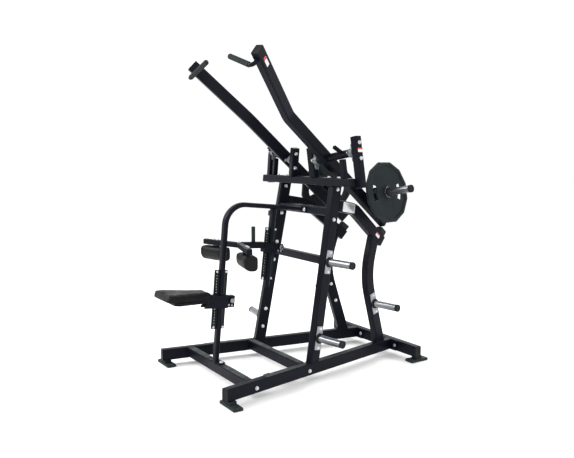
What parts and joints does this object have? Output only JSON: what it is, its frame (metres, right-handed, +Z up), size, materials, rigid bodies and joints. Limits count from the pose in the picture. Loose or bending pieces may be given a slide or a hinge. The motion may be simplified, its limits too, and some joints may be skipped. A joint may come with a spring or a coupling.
{
  "type": "lat pulldown machine",
  "caption": "Plate-loaded lat pulldown machine: welded tube frame, two independent lever arms with loading horns, adjustable seat and thigh pads.",
  "frame": {"origin": "on the floor, under the middle of the machine's footprint", "axes": "+Z up, +Y the way the seated user faces, X = 0 the plane of symmetry"},
  "size_m": [1.0968, 1.7645, 2.0112],
  "materials": {
    "base_rail_right_paint": "satin near-black powder coat",
    "base_rail_left_paint": "satin near-black powder coat",
    "front_cross_paint": "satin near-black powder coat",
    "middle_cross_paint": "satin near-black powder coat",
    "rear_cross_paint": "satin near-black powder coat",
    "front_foot_right_rubber": "matt grey-green rubber",
    "front_foot_left_rubber": "matt grey-green rubber",
    "rear_foot_right_rubber": "matt grey-green rubber",
    "rear_foot_left_rubber": "matt grey-green rubber",
    "upright_right_paint": "satin near-black powder coat",
    "upright_left_paint": "satin near-black powder coat",
    "upper_brace_right_paint": "satin near-black powder coat",
    "upper_brace_left_paint": "satin near-black powder coat",
    "rear_leg_right_paint": "satin near-black powder coat",
    "rear_leg_left_paint": "satin near-black powder coat",
    "rest_bumper_right_rubber": "matt grey-green rubber",
    "rest_bumper_left_rubber": "matt grey-green rubber",
    "lower_tie_paint": "satin near-black powder coat",
    "upper_tie_paint": "satin near-black powder coat",
    "head_beam_paint": "satin near-black powder coat",
    "outer_post_right_paint": "satin near-black powder coat",
    "outer_post_left_paint": "satin near-black powder coat",
    "inner_post_right_paint": "satin near-black powder coat",
    "inner_post_left_paint": "satin near-black powder coat",
    "stop_post_right_paint": "satin near-black powder coat",
    "stop_post_left_paint": "satin near-black powder coat",
    "inner_bearing_right_bearing": "pale grey cast housing",
    "inner_bearing_left_bearing": "pale grey cast housing",
    "outer_bearing_right_bearing": "pale grey cast housing",
    "outer_bearing_left_bearing": "pale grey cast housing",
    "pivot_shaft_right_zinc": "bright zinc, lightly brushed",
    "pivot_shaft_left_zinc": "bright zinc, lightly brushed",
    "arm_right_paint": "satin near-black powder coat",
    "arm_left_paint": "satin near-black powder coat",
    "handle_bar_right_paint": "satin near-black powder coat",
    "handle_bar_left_paint": "satin near-black powder coat",
    "handle_grip_right_rubber": "matt grey-green rubber",
    "handle_grip_left_rubber": "matt grey-green rubber",
    "weight_horn_right_zinc": "bright zinc, lightly brushed",
    "weight_horn_left_zinc": "bright zinc, lightly brushed",
    "weight_plate_right_plate": "grey-green enamel on cast iron",
    "weight_plate_left_plate": "grey-green enamel on cast iron",
    "storage_horn_low_right_zinc": "bright zinc, lightly brushed",
    "storage_horn_low_left_zinc": "bright zinc, lightly brushed",
    "storage_horn_high_right_zinc": "bright zinc, lightly brushed",
    "storage_horn_high_left_zinc": "bright zinc, lightly brushed",
    "storage_horn_rear_right_zinc": "bright zinc, lightly brushed",
    "storage_horn_rear_left_zinc": "bright zinc, lightly brushed",
    "seat_post_paint": "satin near-black powder coat",
    "thigh_post_paint": "satin near-black powder coat",
    "seat_carriage_paint": "satin near-black powder coat",
    "seat_pad_vinyl": "black upholstery vinyl",
    "seat_pin_zinc": "bright zinc, lightly brushed",
    "thigh_carriage_paint": "satin near-black powder coat",
    "thigh_pin_zinc": "bright zinc, lightly brushed",
    "thigh_yoke_paint": "satin near-black powder coat",
    "thigh_pad_right_vinyl": "black upholstery vinyl",
    "thigh_pad_left_vinyl": "black upholstery vinyl",
    "thigh_grip_rubber": "matt grey-green rubber"
  },
  "bodies": {
    "frame": {"base_rail_right": "base_rail_right_paint", "base_rail_left": "base_rail_left_paint", "front_cross": "front_cross_paint", "middle_cross": "middle_cross_paint", "rear_cross": "rear_cross_paint", "front_foot_right": "front_foot_right_rubber", "front_foot_left": "front_foot_left_rubber", "rear_foot_right": "rear_foot_right_rubber", "rear_foot_left": "rear_foot_left_rubber", "upright_right": "upright_right_paint", "upright_left": "upright_left_paint", "upper_brace_right": "upper_brace_right_paint", "upper_brace_left": "upper_brace_left_paint", "rear_leg_right": "rear_leg_right_paint", "rear_leg_left": "rear_leg_left_paint", "rest_bumper_right": "rest_bumper_right_rubber", "rest_bumper_left": "rest_bumper_left_rubber", "lower_tie": "lower_tie_paint", "upper_tie": "upper_tie_paint", "head_beam": "head_beam_paint", "outer_post_right": "outer_post_right_paint", "outer_post_left": "outer_post_left_paint", "inner_post_right": "inner_post_right_paint", "inner_post_left": "inner_post_left_paint", "stop_post_right": "stop_post_right_paint", "stop_post_left": "stop_post_left_paint", "inner_bearing_right": "inner_bearing_right_bearing", "inner_bearing_left": "inner_bearing_left_bearing", "outer_bearing_right": "outer_bearing_right_bearing", "outer_bearing_left": "outer_bearing_left_bearing", "storage_horn_low_right": "storage_horn_low_right_zinc", "storage_horn_low_left": "storage_horn_low_left_zinc", "storage_horn_high_right": "storage_horn_high_right_zinc", "storage_horn_high_left": "storage_horn_high_left_zinc", "storage_horn_rear_right": "storage_horn_rear_right_zinc", "storage_horn_rear_left": "storage_horn_rear_left_zinc", "seat_post": "seat_post_paint", "thigh_post": "thigh_post_paint"},
    "arm_right": {"arm_right": "arm_right_paint", "pivot_shaft_right": "pivot_shaft_right_zinc", "weight_horn_right": "weight_horn_right_zinc", "handle_bar_right": "handle_bar_right_paint", "handle_grip_right": "handle_grip_right_rubber"},
    "plate_right": {"weight_plate_right": "weight_plate_right_plate"},
    "arm_left": {"arm_left": "arm_left_paint", "pivot_shaft_left": "pivot_shaft_left_zinc", "weight_horn_left": "weight_horn_left_zinc", "handle_bar_left": "handle_bar_left_paint", "handle_grip_left": "handle_grip_left_rubber"},
    "plate_left": {"weight_plate_left": "weight_plate_left_plate"},
    "seat": {"seat_carriage": "seat_carriage_paint", "seat_pad": "seat_pad_vinyl"},
    "seat_pull_pin": {"seat_pin": "seat_pin_zinc"},
    "thigh_pads": {"thigh_carriage": "thigh_carriage_paint", "thigh_yoke": "thigh_yoke_paint", "thigh_pad_right": "thigh_pad_right_vinyl", "thigh_pad_left": "thigh_pad_left_vinyl", "thigh_grip": "thigh_grip_rubber"},
    "thigh_pull_pin": {"thigh_pin": "thigh_pin_zinc"}
  },
  "joints": [
    {"name": "right_arm_pivot", "type": "hinge", "parent": "frame", "child": "arm_right", "pos_m": [0.228, 0.1672, 1.382], "axis": [0.9728, 0.1628, 0.165], "range_deg": [0, 60]},
    {"name": "right_plate_slide", "type": "slide", "parent": "arm_right", "child": "plate_right", "axis": [0.9728, 0.1628, 0.165], "range_m": [0, 0.18]},
    {"name": "left_arm_pivot", "type": "hinge", "parent": "frame", "child": "arm_left", "pos_m": [-0.228, 0.1672, 1.382], "axis": [0.9728, -0.1628, -0.165], "range_deg": [0, 60]},
    {"name": "left_plate_slide", "type": "slide", "parent": "arm_left", "child": "plate_left", "axis": [-0.9728, 0.1628, 0.165], "range_m": [0, 0.18]},
    {"name": "seat_height", "type": "slide", "parent": "frame", "child": "seat", "axis": [0, 0.0906, 0.9959], "range_m": [-0.13, 0.12]},
    {"name": "seat_pin_pull", "type": "slide", "parent": "seat", "child": "seat_pull_pin", "axis": [1, 0, 0], "range_m": [0, 0.012], "stiffness_N_per_m": 800, "springref_m": -0.004},
    {"name": "thigh_pad_height", "type": "slide", "parent": "frame", "child": "thigh_pads", "axis": [0, 0.1149, 0.9934], "range_m": [-0.15, 0.09]},
    {"name": "thigh_pin_pull", "type": "slide", "parent": "thigh_pads", "child": "thigh_pull_pin", "axis": [1, 0, 0], "range_m": [0, 0.012], "stiffness_N_per_m": 800, "springref_m": -0.004}
  ]
}
